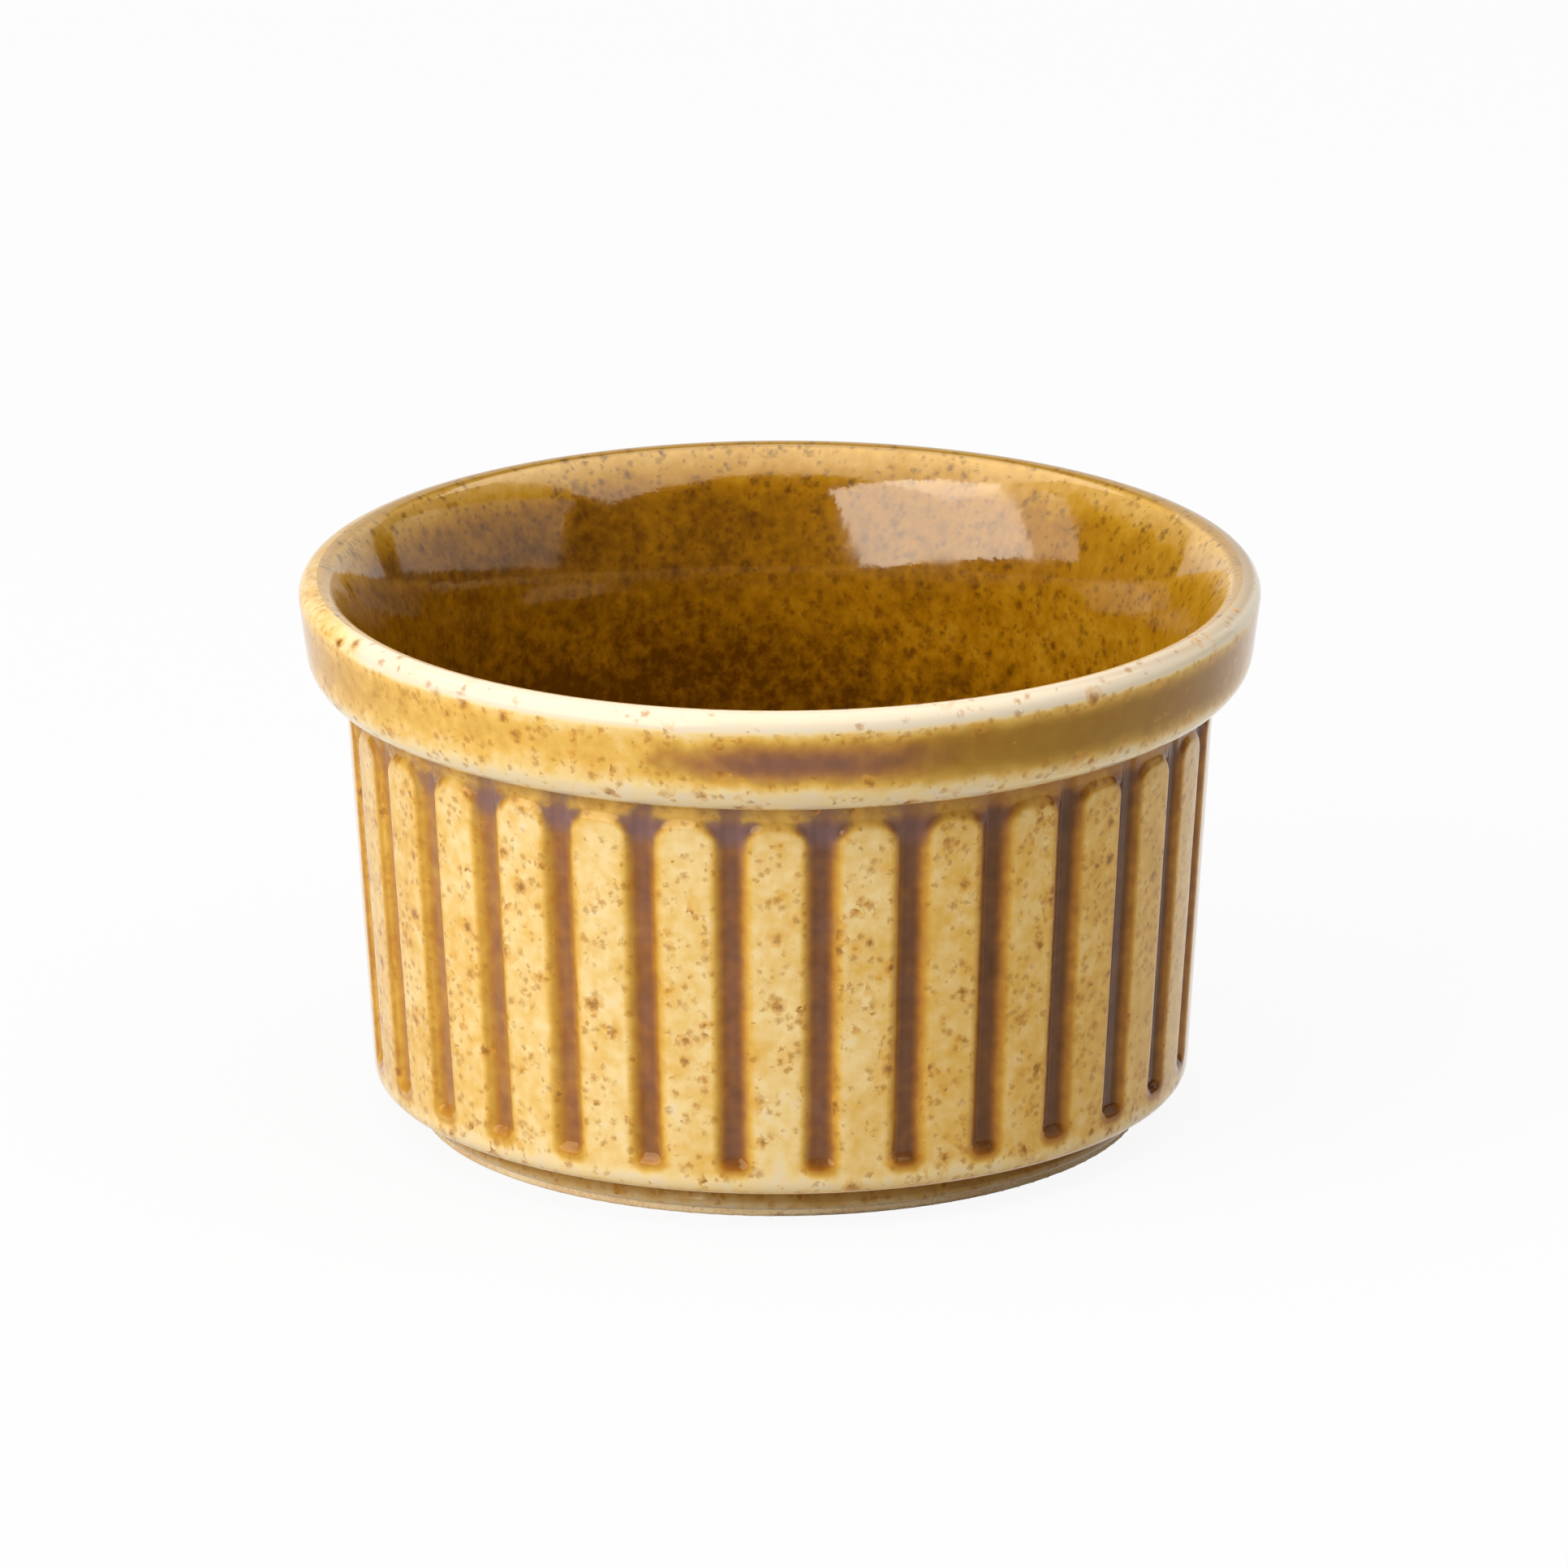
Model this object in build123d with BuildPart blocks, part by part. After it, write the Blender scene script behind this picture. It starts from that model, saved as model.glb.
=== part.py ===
from build123d import *
from math import atan2, cos, degrees, pi, radians, sin, sqrt, tan
import os

# Fluted stoneware ramekin, in millimetres and degrees. The origin is the centre of the foot
# ring's resting plane, +Z goes up through the mouth, and one flute lies on the +X axis.
# Sizes are those of the glazed surface, unless a comment says clay.

# Whole dish
rim_diameter = 90.0
height = 52.0

# Rim collar
collar_height = 10.1
collar_lean = 7.4
collar_round = 3.6
lip_round_outer = 1.7
lip_round_inner = 1.8
rim_overhang = 4.4

# Wall and the recess between its ribs and the collar
wall_lean = 3.7
wall_thickness = 3.7
wall_edge_round = 0.8
neck_height = 2.0
neck_depth = 0.5

# Flutes, ribs and the plain band below them
flute_count = 30
flute_width = 2.7
flute_depth = 0.75
flute_bed_round = 0.7
rib_corner_round = 2.0
rib_top_flat = 0.1
band_height = 3.0

# Bowl
bore_lean = 4.3
flare_radius = 25.5
floor_round = 7.0
base_thickness = 4.3

# Foot
foot_height = 3.3
foot_inset = 3.85
foot_ring_width = 3.2
foot_band = 1.5
foot_shoulder_round = 0.6
foot_waist = 0.6
foot_waist_round = 0.8
foot_edge_round = 0.4
foot_recess = 1.2
foot_recess_round = 0.6

# Glaze, which pools in the flutes and in a shallow waist round the clay of the collar
glaze_thickness = 0.35
flute_pool = 0.25
waist_pool = 0.25
waist_pool_round = 9.0
waist_pool_rise = 5.8
glaze_line = 0.8
base_glaze_margin = 0.8

# How far a cutter reaches past the surface that it cuts
cut_margin = 3.0

# Heights and radii that follow from these
rim_radius = rim_diameter / 2
crest_radius = rim_radius - lip_round_outer
collar_base = height - collar_height
collar_core = collar_base + collar_round
neck_base = collar_base - neck_height
flute_base = foot_height + band_height
floor_level = foot_recess + base_thickness
along_wall = cos(radians(wall_lean))


def crown_radius(level):
    """Radius of the ribs' crowns at a height."""
    return rim_radius - rim_overhang - (neck_base - level) * tan(radians(wall_lean))


foot_radius = crown_radius(foot_height) - foot_inset
foot_ring_bore = foot_radius - foot_ring_width

rib_half = pi * crown_radius(neck_base) / flute_count - flute_width / 2

# The flare of the bowl is one arc, tangent to the straight wall and to the inside of the lip.
bore_up = Vector(sin(radians(bore_lean)), cos(radians(bore_lean)))
bore_out = Vector(cos(radians(bore_lean)), -sin(radians(bore_lean)))
lip_centre = Vector(crest_radius, height - lip_round_inner)
flare_start = Vector(crown_radius(neck_base) - wall_thickness, neck_base) + bore_out * flare_radius
from_lip = flare_start - lip_centre
climb = from_lip.dot(bore_up)
reach = flare_radius - lip_round_inner
flare_centre = flare_start - bore_up * (climb + sqrt(climb**2 - from_lip.length**2 + reach**2))
flare_turn = degrees(atan2(lip_centre.Y - flare_centre.Y, lip_centre.X - flare_centre.X))


def bowl_outline(inset):
    """Bowl from the axis to the lip's crest, at a depth behind the glazed surface."""
    level = floor_level - inset
    wall_end = flare_centre - bore_out * (flare_radius - inset)
    corner = wall_end - bore_up * ((wall_end.Y - level) / bore_up.Y)
    flare_foot = 180 - bore_lean
    FilletPolyline((0, level), corner, wall_end, radius=floor_round + inset)
    CenterArc(flare_centre, flare_radius - inset, flare_foot, flare_turn - flare_foot)
    CenterArc(lip_centre, lip_round_inner - inset, flare_turn, 90 - flare_turn)


def collar_outline(inset):
    """Collar from the axis, over the lip and down its face, and back under to the axis."""
    level = collar_base + inset
    turn = radians(collar_lean)
    centre = Vector(crest_radius, height - lip_round_outer)
    lip_round = lip_round_outer - inset
    face_top = centre + Vector(cos(turn), -sin(turn)) * lip_round
    corner = Vector(face_top.X - (face_top.Y - level) * tan(turn), level)
    Polyline((0, level), (0, height - inset), (crest_radius, height - inset))
    CenterArc(centre, lip_round, 90, -90 - collar_lean)
    FilletPolyline(face_top, corner, (0, level), radius=collar_round - inset)


def wall_outline(inset):
    """Foot, the waist above it and the wall, up to the inside of the collar."""
    skin = inset / along_wall
    FilletPolyline(
        (0, 0),
        (foot_radius - inset, 0),
        (foot_radius - inset, foot_band),
        (foot_radius - foot_waist - inset, foot_height + inset),
        (crown_radius(foot_height) - skin, foot_height + inset),
        (crown_radius(collar_core) - skin, collar_core),
        (0, collar_core),
        radius=[
            0,
            foot_edge_round,
            foot_shoulder_round - inset,
            foot_waist_round + inset,
            wall_edge_round - inset,
            0,
            0,
        ],
        close=True,
    )


def flute_cutter(inset, pool):
    """Flute on the +X side, with a round nose at its foot, that runs up through the neck."""
    half = flute_width / 2 + inset
    nose_level = flute_base + flute_width / 2
    lean = radians(wall_lean)
    depth = flute_depth + pool + inset
    bed = Plane(
        origin=(crown_radius(nose_level) - depth, 0, nose_level),
        x_dir=(0, 1, 0),
        z_dir=(cos(lean), 0, -sin(lean)),
    )
    with BuildPart() as cutter:
        with BuildSketch(bed):
            Circle(half)
            Rectangle(2 * half, collar_core - nose_level + cut_margin, align=(Align.CENTER, Align.MIN))
        extrude(amount=depth + cut_margin)
        fillet(cutter.faces().sort_by(Axis(bed.origin, bed.z_dir))[0].edges(), flute_bed_round + inset)
    return cutter.part


def rib_top(inset):
    """Upper end of the rib on the +X side, with two round corners, which the neck leaves."""
    inner = crown_radius(neck_base) - neck_depth - cut_margin
    half = rib_half - inset
    with BuildPart() as rib:
        with BuildSketch(Plane(origin=(inner, 0, neck_base - inset), x_dir=(0, 1, 0), z_dir=(1, 0, 0))):
            RectangleRounded(
                2 * half,
                2 * rib_corner_round + cut_margin,
                min(rib_corner_round - inset, half - rib_top_flat / 2),
                align=(Align.CENTER, Align.MAX),
            )
        extrude(amount=neck_depth + 3 * cut_margin)
    return rib.part


def neck_cutter(inset):
    """Recess under the collar, which dips between the ribs and leaves their tops arched."""
    low = neck_base - rib_corner_round
    skin = neck_depth + inset / along_wall
    with BuildPart() as cutter:
        with BuildSketch(Plane.XZ):
            Polygon(
                (crown_radius(low) - skin, low),
                (crown_radius(low) + cut_margin, low),
                (crown_radius(collar_core) + cut_margin, collar_core),
                (crown_radius(collar_core) - skin, collar_core),
                align=None,
            )
        revolve(axis=Axis.Z)
        with PolarLocations(0, flute_count, start_angle=180 / flute_count):
            add(rib_top(inset), mode=Mode.SUBTRACT)
    return cutter.part


def outer_form(inset, pool, waist):
    """Solid of the dish's outside, with neck, flutes and collar, not yet hollow."""
    with BuildPart() as form:
        with BuildSketch(Plane.XZ):
            with BuildLine():
                wall_outline(inset)
            make_face()
        revolve(axis=Axis.Z)
        add(neck_cutter(inset), mode=Mode.SUBTRACT)
        with PolarLocations(0, flute_count):
            add(flute_cutter(inset, pool), mode=Mode.SUBTRACT)
        with BuildSketch(Plane.XZ):
            with BuildLine():
                collar_outline(inset)
            make_face()
            if waist:
                level = collar_base + waist_pool_rise
                face = rim_radius - (height - lip_round_outer - level) * tan(radians(collar_lean))
                with Locations((face - inset - waist + waist_pool_round, level)):
                    Circle(waist_pool_round, mode=Mode.SUBTRACT)
        revolve(axis=Axis.Z)
    return form.part


clay_form = outer_form(glaze_thickness, flute_pool, waist_pool)
glazed_form = outer_form(0, 0, 0)

# Fired clay body: cup, collar and foot ring in one piece, bare under the foot ring
with BuildPart() as stoneware_body:
    add(clay_form)
    with BuildSketch(Plane.XZ):
        with BuildLine():
            bowl_outline(glaze_thickness)
            Polyline(
                (crest_radius, height - glaze_thickness),
                (crest_radius, height + cut_margin),
                (0, height + cut_margin),
                (0, floor_level - glaze_thickness),
            )
        make_face()
    revolve(axis=Axis.Z, mode=Mode.SUBTRACT)
    with BuildSketch(Plane.XZ):
        with BuildLine():
            FilletPolyline(
                (0, 0),
                (foot_ring_bore, 0),
                (foot_ring_bore, foot_recess + glaze_thickness),
                (0, foot_recess + glaze_thickness),
                radius=[0, 0, foot_recess_round, 0],
                close=True,
            )
        make_face()
    revolve(axis=Axis.Z, mode=Mode.SUBTRACT)
stoneware_body.part.label = "stoneware_body"

# Glaze coat of the outside, from the lip's crest down to the glaze line on the foot
with BuildPart() as outer_glaze:
    add(glazed_form)
    add(clay_form, mode=Mode.SUBTRACT)
    with Locations((0, 0, glaze_line)):
        Cylinder(
            rim_radius,
            cut_margin,
            align=(Align.CENTER, Align.CENTER, Align.MAX),
            mode=Mode.SUBTRACT,
        )
    with Locations((0, 0, height - lip_round_outer)):
        Cylinder(
            crest_radius,
            lip_round_outer + cut_margin,
            align=(Align.CENTER, Align.CENTER, Align.MIN),
            mode=Mode.SUBTRACT,
        )
outer_glaze.part.label = "outer_glaze"

# Glaze liner of the bowl, which meets the outer coat at the lip's crest
with BuildPart() as inner_glaze:
    with BuildSketch(Plane.XZ):
        with BuildLine():
            bowl_outline(0)
            bowl_outline(glaze_thickness)
            Line((0, floor_level), (0, floor_level - glaze_thickness))
            Line((crest_radius, height), (crest_radius, height - glaze_thickness))
        make_face()
    revolve(axis=Axis.Z)
inner_glaze.part.label = "inner_glaze"

# Glaze patch in the recess inside the foot ring
with BuildPart() as base_glaze:
    with Locations((0, 0, foot_recess)):
        Cylinder(
            foot_ring_bore - foot_recess_round - base_glaze_margin,
            glaze_thickness,
            align=(Align.CENTER, Align.CENTER, Align.MIN),
        )
base_glaze.part.label = "base_glaze"

os.makedirs("parts", exist_ok=True)
export_step(stoneware_body.part, "parts/stoneware_body.step")
export_step(outer_glaze.part, "parts/outer_glaze.step")
export_step(inner_glaze.part, "parts/inner_glaze.step")
export_step(base_glaze.part, "parts/base_glaze.step")
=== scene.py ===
from math import atan2, cos, degrees, hypot, pi, radians, sin, sqrt, tan

import bpy
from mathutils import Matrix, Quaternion, Vector


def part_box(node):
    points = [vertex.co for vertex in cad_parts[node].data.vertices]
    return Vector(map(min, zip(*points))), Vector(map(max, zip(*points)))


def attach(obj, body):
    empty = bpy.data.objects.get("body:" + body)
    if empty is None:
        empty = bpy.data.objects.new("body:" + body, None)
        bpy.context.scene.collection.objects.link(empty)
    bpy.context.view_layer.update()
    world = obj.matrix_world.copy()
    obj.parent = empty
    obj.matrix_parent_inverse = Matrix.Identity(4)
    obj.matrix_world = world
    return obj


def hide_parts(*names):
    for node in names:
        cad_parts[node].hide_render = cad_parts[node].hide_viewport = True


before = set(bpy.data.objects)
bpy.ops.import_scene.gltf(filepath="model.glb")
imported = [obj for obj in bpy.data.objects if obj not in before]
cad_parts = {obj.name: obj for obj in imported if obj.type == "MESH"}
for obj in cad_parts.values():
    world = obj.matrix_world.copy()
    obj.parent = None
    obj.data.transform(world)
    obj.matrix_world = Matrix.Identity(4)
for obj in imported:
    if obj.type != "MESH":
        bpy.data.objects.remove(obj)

bl_info = {
    "name": "Fluted stoneware ramekin",
    "version": (1, 0, 0),
    "blender": (4, 5, 0),
    "location": "3D View > Sidebar > Ramekin",
    "description": "Glaze coats, fired clay and a plain studio for a fluted stoneware ramekin",
    "category": "Object",
}

MM = 0.001
MICROMETRE = 0.000001

# Metres from the dish to the upright soft boxes, and the middle of the panel overhead
BOX_DISTANCE = 0.9
PANEL_PLACE = (0, -0.1, 1.05)

# The floor reaches so many metres from the axis. Camera and gloss see this share of it as plain white,
# and the rest keeps the dish's shadow.
FLOOR_REACH = 3.0
FLOOR_WHITE = 0.92

# Columns of the meshes round the axis, and the bend above which an edge is shaded sharp
COLUMNS_PER_FLUTE = 24
LINER_COLUMNS = 360
PATCH_COLUMNS = 180
SHARP_BEND = radians(50)

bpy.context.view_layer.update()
RIM_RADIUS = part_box("outer_glaze")[1].x
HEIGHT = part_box("outer_glaze")[1].z
GLAZE_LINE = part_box("outer_glaze")[0].z
PATCH_LOW, PATCH_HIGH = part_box("base_glaze")

# The glaze's thickness is carried by one attribute, from 0 where it breaks over an edge to 1 where
# it pools, and the share of milky purple that floats in a pool by the other.
POOL = "glaze_pool"
FLOAT = "glaze_float"
CARVE = "flute_carve"

MATH = "ShaderNodeMath"
VECTOR_MATH = "ShaderNodeVectorMath"
FADE = "ShaderNodeMapRange"
SMOOTH = {"interpolation_type": "SMOOTHSTEP"}
NOISE = "ShaderNodeTexNoise"
STORE = "GeometryNodeStoreNamedAttribute"
NAMED = "GeometryNodeInputNamedAttribute"


def srgb(code):
    """Linear colour with alpha of an sRGB hex code."""
    channels = [int(code[i:i + 2], 16) / 255 for i in (0, 2, 4)]
    return [c / 12.92 if c <= 0.04045 else ((c + 0.055) / 1.055) ** 2.4 for c in channels] + [1.0]


def length(name, description, millimetres):
    """Length property with a default in millimetres."""
    return bpy.props.FloatProperty(
        name=name, description=description, default=millimetres * MM, min=0, precision=5, unit="LENGTH"
    )


def angle(name, description, default):
    """Angle property with a default in degrees."""
    return bpy.props.FloatProperty(
        name=name, description=description, default=radians(default), subtype="ANGLE"
    )


def colour(name, description, code):
    """Colour property with a default from an sRGB hex code."""
    return bpy.props.FloatVectorProperty(
        name=name, description=description, default=srgb(code), size=4, min=0, max=1, subtype="COLOR"
    )


def number(name, description, default, low=0.0):
    """Plain number property."""
    return bpy.props.FloatProperty(name=name, description=description, default=default, min=low)


def extent(name, description, across, up):
    """Property of two lengths in metres, across and up."""
    return bpy.props.FloatVectorProperty(
        name=name, description=description, default=(across, up), size=2, subtype="TRANSLATION"
    )


class DishSizes(bpy.types.PropertyGroup):
    """Sizes of the glazed dish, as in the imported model, with edges that the glaze softens"""

    collar_height: length("Collar height", "Height of the collar below the crest of the lip", 10.1)
    collar_lean: angle("Collar lean", "Lean of the collar's face from upright", 7.4)
    collar_round: length("Collar round", "Rounding of the collar's lower edge", 3.6)
    lip_round_outer: length("Outer lip round", "Rounding of the lip's outer edge", 1.7)
    lip_round_inner: length("Inner lip round", "Rounding of the lip's inner edge", 1.8)
    rim_overhang: length("Rim overhang", "How far the rim stands out past the ribs' tops", 4.4)
    wall_lean: angle("Wall lean", "Lean of the fluted wall from upright", 3.7)
    wall_thickness: length("Wall thickness", "Thickness of the wall below the collar", 3.7)
    wall_edge_round: length("Wall edge round", "Rounding of the wall's lower edge", 1.5)
    neck_height: length("Neck height", "Height of the recess between ribs and collar", 2.0)
    neck_depth: length("Neck depth", "Depth of the recess between ribs and collar", 0.5)
    neck_fillet: length("Neck fillet", "Round of the glaze caught under the collar", 0.35)
    flute_count: bpy.props.IntProperty(name="Flutes", description="Flutes round the wall", default=30, min=3)
    flute_width: length("Flute width", "Width of a flute between its shoulders", 2.7)
    flute_depth: length("Flute depth", "Depth of a flute's bed below the ribs", 0.75)
    flute_bed: length("Flute bed blend", "How far a flute's wall reaches in from its shoulder line", 0.9)
    flute_shoulder: length("Flute shoulder", "How far the glaze rounds the rib beside a flute", 0.5)
    flute_nose: length("Flute nose round", "Corner round of a flute's lower end", 0.95)
    flute_flare: length("Flute nose flare", "Extra half width of a flute at its lower end", 0.14)
    band_height: length("Band height", "Plain band below the flutes", 3.0)
    rib_corner: length("Rib corner round", "Corner round of a rib's upper end", 2.0)
    ripple: length("Ripple", "Hand-finished unevenness of flute edges", 0.11)
    bore_lean: angle("Bore lean", "Lean of the bowl's wall from upright", 4.3)
    flare_radius: length("Flare radius", "Radius of the bowl's flare up to the lip", 25.5)
    floor_round: length("Floor round", "Round between the bowl's floor and wall", 7.0)
    base_thickness: length("Base thickness", "Thickness of the floor", 4.3)
    foot_height: length("Foot height", "Height of the foot", 3.3)
    foot_inset: length("Foot inset", "How far the foot stands in from the wall's lower edge", 3.85)
    foot_band: length("Foot band", "Upright band at the bottom of the foot", 1.5)
    foot_waist: length("Foot waist", "How far the foot draws in above its band", 0.6)
    foot_shoulder_round: length("Foot shoulder round", "Round at the top of the foot's band", 0.6)
    foot_waist_round: length("Foot waist round", "Round of the foot's waist", 0.8)
    foot_recess: length("Foot recess", "Depth of the recess inside the foot ring", 1.2)
    coat: length("Glaze coat", "Thickness of a glaze coat", 0.35)
    bed_pool: number("Bed pool", "Share of the thickest glaze that pools in a flute's bed", 0.8)
    # The neck pool also darkens the ribs' tops under the collar: partly pooled glaze, partly painted shade
    # of the collar.
    neck_pool: number("Neck pool", "Share of the thickest glaze that pools above the ribs", 0.22)


class GlazeLooks(bpy.types.PropertyGroup):
    """Colours of the glazes and the clay, the sides that the glazes ran to, and the sides towards which
    shade is painted into them
    """

    # Cream on the lip is partly the glaze's pale break and partly a painted highlight.
    cream: colour("Cream", "Outer glaze where it breaks thin over an edge", "DFCFB5")
    honey: colour("Honey", "Outer glaze on the ribs", "E8CB8C")
    gold: colour("Gold", "Outer glaze at the sides of the ribs", "DCAE54")
    amber: colour("Amber", "Outer glaze where it begins to pool", "C6963A")
    ochre: colour("Ochre", "Outer glaze at the edge of a pool", "B47A28")
    brown: colour("Brown", "Outer glaze in a pool", "935A1E")
    umber: colour("Umber", "Outer glaze in the bed of a flute", "6C4018")
    bark: colour("Bark", "Outer glaze at its very thickest", "4A2406")
    olive: colour("Olive", "Outer glaze round the collar on the side that it drained to", "8C640A")
    plum: colour("Plum", "Milky purple that floats in the pools of the outer glaze", "775A5E")
    liner_gold: colour("Liner gold", "Inner glaze where it thins over the lip", "C2984E")
    liner_honey: colour("Liner honey", "Inner glaze where it runs thin below the lip", "AC7C18")
    liner_amber: colour("Liner amber", "Inner glaze on the wall of the bowl", "926006")
    liner_deep: colour("Liner deep amber", "Inner glaze where it is thick", "5A3402")
    liner_speck: colour("Liner speck", "Dark specks in the liner glaze", "4A2408")
    speck: colour("Iron speck", "Iron specks that melt into the glaze", "A86C22")
    speck_core: colour("Iron core", "Dark middle of a large iron speck", "743A10")
    gloss: colour("Gloss", "Tint of what the outer glaze reflects", "FFE4B4")
    liner_gloss: colour("Liner gloss", "Tint of what the inner glaze reflects", "FFF3E0")
    halo: colour("Halo", "Golden glaze round a large iron speck", "D69A3A")
    clay: colour("Fired clay", "Bare stoneware clay on the foot ring", "FAE2B2")
    clay_dark: colour("Toasted clay", "Clay toasted by the kiln", "EAC28C")
    # Painted shade: the liner is made thicker and darker towards this side, which the key light leaves in
    # shade.
    liner_shade_turn: angle("Pour direction", "Side that the bowl's glaze was poured out over, its thickest", 135.0)
    # Painted shade: the outer glaze's pools are made darker towards this side, which the key light leaves in
    # shade.
    outer_shade_turn: angle("Drain direction", "Direction in which the outer glaze drained and is thickest", -10.0)
    waist_turn: angle("Waist pool direction", "Where round the collar the glaze ran thickest", -87.0)
    belt_turn: angle("Belt direction", "Where round the collar the glaze ran olive", -46.0)
    float_turn: angle("Purple direction", "Where the purple shows most, there and opposite", -107.0)


class StudioLooks(bpy.types.PropertyGroup):
    """Camera, floor and lamps"""

    distance: number("Camera distance", "Metres from the camera to the middle of the dish", 1.7)
    elevation: angle("Camera elevation", "How far the camera looks down", 17.797)
    azimuth: angle("Camera azimuth", "Direction of the camera seen from above", -89.46)
    roll: angle("Camera roll", "Turn of the camera about its own axis", 0.143)
    aim_height: length("Aim height", "Height of the point on the axis that the camera is set from", 26.0)
    aim_right: length("Aim to the right", "How far to the right of that point the picture is centred", 0.353)
    aim_up: length("Aim upwards", "How far above that point the picture is centred", 5.045)
    lens: number("Lens", "Focal length in millimetres for a 36 mm sensor", 415.5)
    floor: colour("Floor", "Plain pale floor and backdrop", "CCCCCC")
    backdrop: number("Backdrop height", "Height in metres of the backdrop behind the dish", 2.4)
    key_light: number("Key light", "Radiance of the large soft box on the left, where white is 1", 5.3)
    key_bearing: angle("Key bearing", "Direction that the key box faces from, seen from above", -122.5)
    key_place: extent("Key place", "Metres from there to the key box, to the right and up", -0.671, 0.703)
    key_size: extent("Key size", "Width and height of the key box", 1.803, 0.741)
    key_roll: angle("Key roll", "Turn of the key box in its own plane", -11.0)
    key_end: number("Key end", "Share of the key box's width, at its far left, that is dim", 0.42)
    key_end_light: number("Key end light", "Radiance of that end, where white is 1", 1.8)
    fill_light: number("Fill light", "Radiance of the small soft box on the right, where white is 1", 0.76)
    fill_bearing: angle("Fill bearing", "Direction that the fill box faces from, seen from above", -28.6)
    fill_place: extent("Fill place", "Metres from there to the fill box, to the right and up", 1.031, 0.568)
    fill_size: extent("Fill size", "Width and height of the fill box", 1.901, 0.511)
    fill_roll: angle("Fill roll", "Turn of the fill box in its own plane", 5.5)
    top_light: number("Top light", "Radiance of the overhead panel, where white is 1", 2.0)
    top_size: extent("Top size", "Width and depth of the overhead panel", 2.2, 1.5)
    ambient: number("Ambient light", "Strength of the plain light from all round", 0.04)


def crown_radius(sizes, level):
    """Radius of the ribs' crowns at a height."""
    neck_base = HEIGHT - sizes.collar_height - sizes.neck_height
    return RIM_RADIUS - sizes.rim_overhang - (neck_base - level) * tan(sizes.wall_lean)


def arc(centre, radius, start, end, step=9.0):
    """Points of an arc, ends included, from one angle to another in degrees."""
    count = max(1, round(abs(end - start) / step))
    turns = [radians(start + (end - start) * i / count) for i in range(count + 1)]
    return [(centre[0] + radius * cos(t), centre[1] + radius * sin(t)) for t in turns]


def round_corner(before, corner, after, radius, step=15.0):
    """Points of the arc that rounds a corner between two straight runs."""
    run_in = Vector(corner) - Vector(before)
    run_out = Vector(after) - Vector(corner)
    run_in.normalize()
    run_out.normalize()
    bend = run_in.angle(run_out)
    side = 1 if run_in.x * run_out.y - run_in.y * run_out.x > 0 else -1
    start = Vector(corner) - run_in * radius * tan(bend / 2)
    centre = start + Vector((-run_in.y, run_in.x)) * side * radius
    first = degrees(atan2(start.y - centre.y, start.x - centre.x))
    return arc(centre, radius, first, first + side * degrees(bend), step)


def run(start, end, spacing):
    """Evenly spaced points between two points, ends left out."""
    count = max(1, round(hypot(end[0] - start[0], end[1] - start[1]) / spacing))
    return [
        (start[0] + (end[0] - start[0]) * i / count, start[1] + (end[1] - start[1]) * i / count)
        for i in range(1, count)
    ]


def blend_between(stops, at):
    """Value at a place on a line of (place, value) stops, with smooth steps between them."""
    if at <= stops[0][0]:
        return stops[0][1]
    for (low, first), (high, second) in zip(stops, stops[1:]):
        if at <= high:
            share = (at - low) / (high - low)
            share = share * share * (3 - 2 * share)
            return first + (second - first) * share
    return stops[-1][1]


def behind(points, coat):
    """Points at the coat's thickness behind a line whose outer face lies on its right."""
    back = []
    for i, point in enumerate(points):
        before = Vector(points[max(i - 1, 0)])
        after = Vector(points[min(i + 1, len(points) - 1)])
        along = (after - before).normalized()
        back.append((point[0] - along.y * coat, point[1] + along.x * coat))
    return back


def section_mesh(name, front, back, pools, carves, every=1):
    """Closed section of a coat as a mesh of edges, with its glaze pool and carving share.

    The hidden back keeps one point in so many.
    """
    kept = sorted({*range(0, len(back), every), len(back) - 1}, reverse=True)
    points = front + [back[i] for i in kept]
    count = len(points)
    mesh = bpy.data.meshes.new(name)
    mesh.from_pydata(
        [(x, 0.0, z) for x, z in points], [(i, (i + 1) % count) for i in range(count)], []
    )
    for attribute, values in ((POOL, pools), (CARVE, carves)):
        layer = mesh.attributes.new(attribute, "FLOAT", "POINT")
        layer.data.foreach_set("value", values + [values[i - len(back)] for i in kept])
    return mesh


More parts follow.
